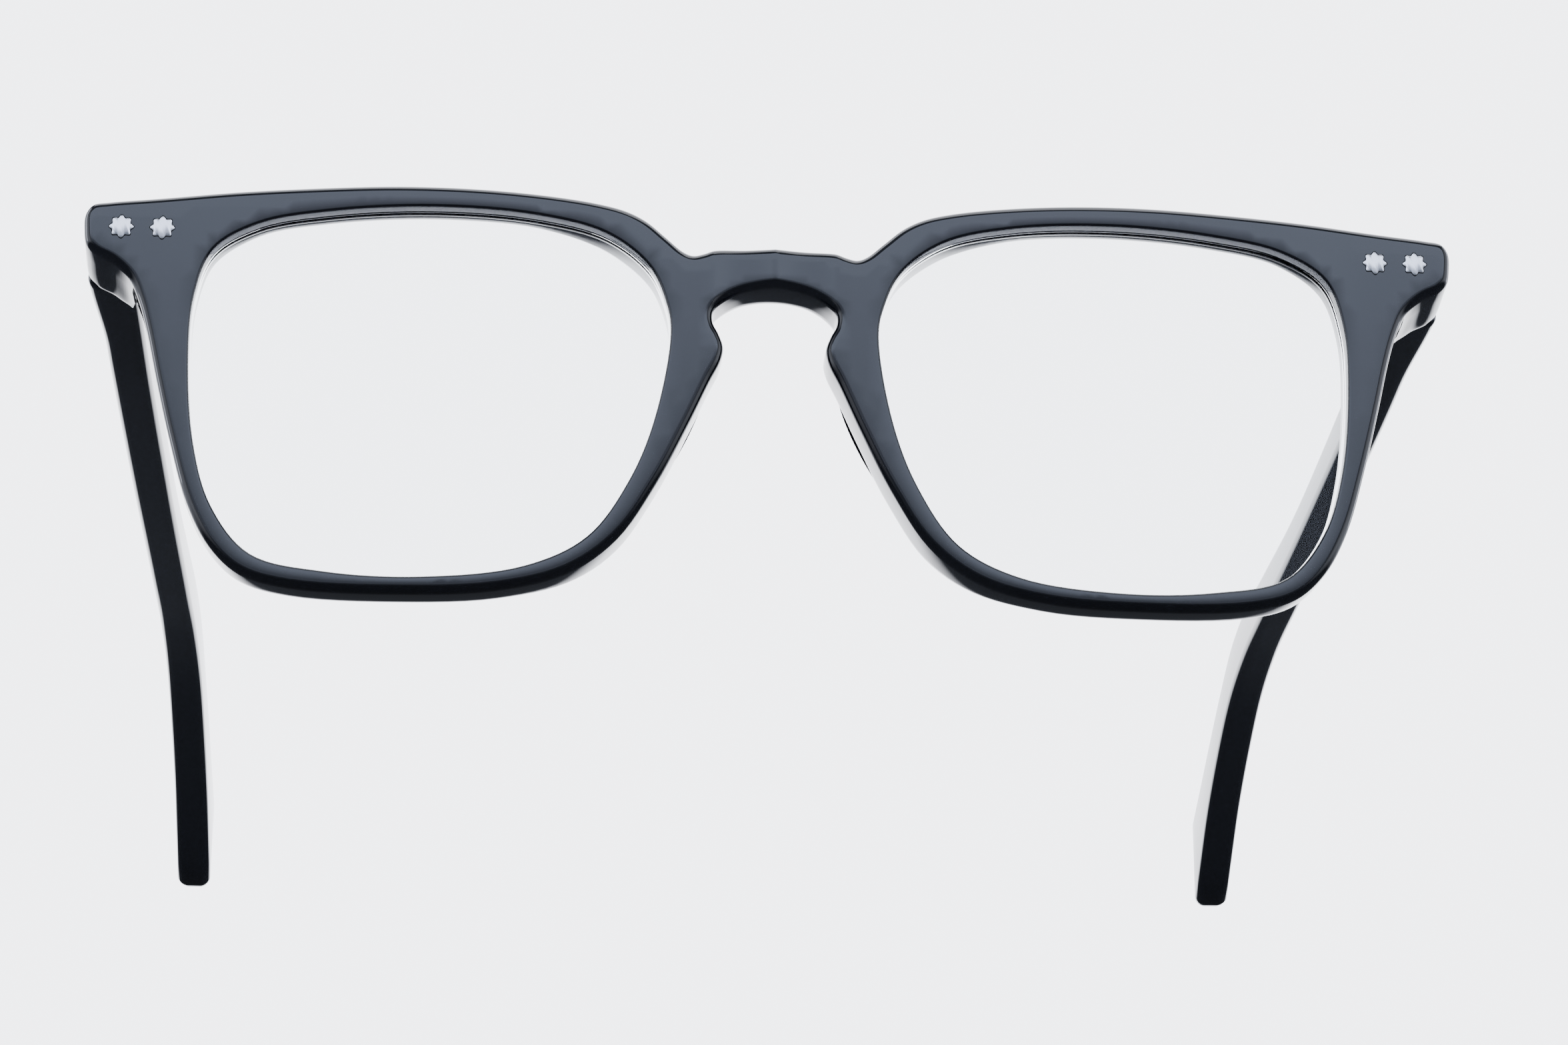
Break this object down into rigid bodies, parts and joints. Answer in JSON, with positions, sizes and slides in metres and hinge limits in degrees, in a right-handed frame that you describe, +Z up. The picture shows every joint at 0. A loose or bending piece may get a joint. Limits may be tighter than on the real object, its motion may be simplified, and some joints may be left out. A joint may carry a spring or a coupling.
{
  "type": "eyeglasses",
  "caption": "Black acetate eyeglasses with a keyhole bridge, clear demonstration lenses, flower-headed corner rivets and folding temples with squared tips.",
  "frame": {"origin": "centre of the footprint, on the floor the open glasses stand on", "axes": "+Z up, the front faces -Y, the temples run toward +Y, +X is the wearer's left"},
  "size_m": [0.1396, 0.1428, 0.043],
  "materials": {
    "black_acetate": "polished",
    "demo_lens": "clear",
    "nickel_silver": "satin",
    "polished_steel": "polished"
  },
  "bodies": {
    "front": {"front_frame": "black_acetate", "left_lens": "demo_lens", "left_nose_pad": "black_acetate", "left_front_leaf": "nickel_silver", "left_front_rivet_inner": "polished_steel", "left_front_rivet_outer": "polished_steel", "left_hinge_screw": "polished_steel", "right_lens": "demo_lens", "right_nose_pad": "black_acetate", "right_front_leaf": "nickel_silver", "right_front_rivet_inner": "polished_steel", "right_front_rivet_outer": "polished_steel", "right_hinge_screw": "polished_steel"},
    "left_temple_arm": {"left_temple": "black_acetate", "left_temple_leaf": "nickel_silver", "left_temple_rivet_fore": "polished_steel", "left_temple_rivet_aft": "polished_steel"},
    "right_temple_arm": {"right_temple": "black_acetate", "right_temple_leaf": "nickel_silver", "right_temple_rivet_fore": "polished_steel", "right_temple_rivet_aft": "polished_steel"}
  },
  "joints": [
    {"name": "left_temple_hinge", "type": "hinge", "parent": "front", "child": "left_temple_arm", "pos_m": [0.0629, -0.06097, 0.03695], "axis": [0, 0.0821, 0.9966], "range_deg": [0, 91.5]},
    {"name": "right_temple_hinge", "type": "hinge", "parent": "front", "child": "right_temple_arm", "pos_m": [-0.0629, -0.06097, 0.03695], "axis": [0, -0.0821, -0.9966], "range_deg": [0, 84]}
  ]
}
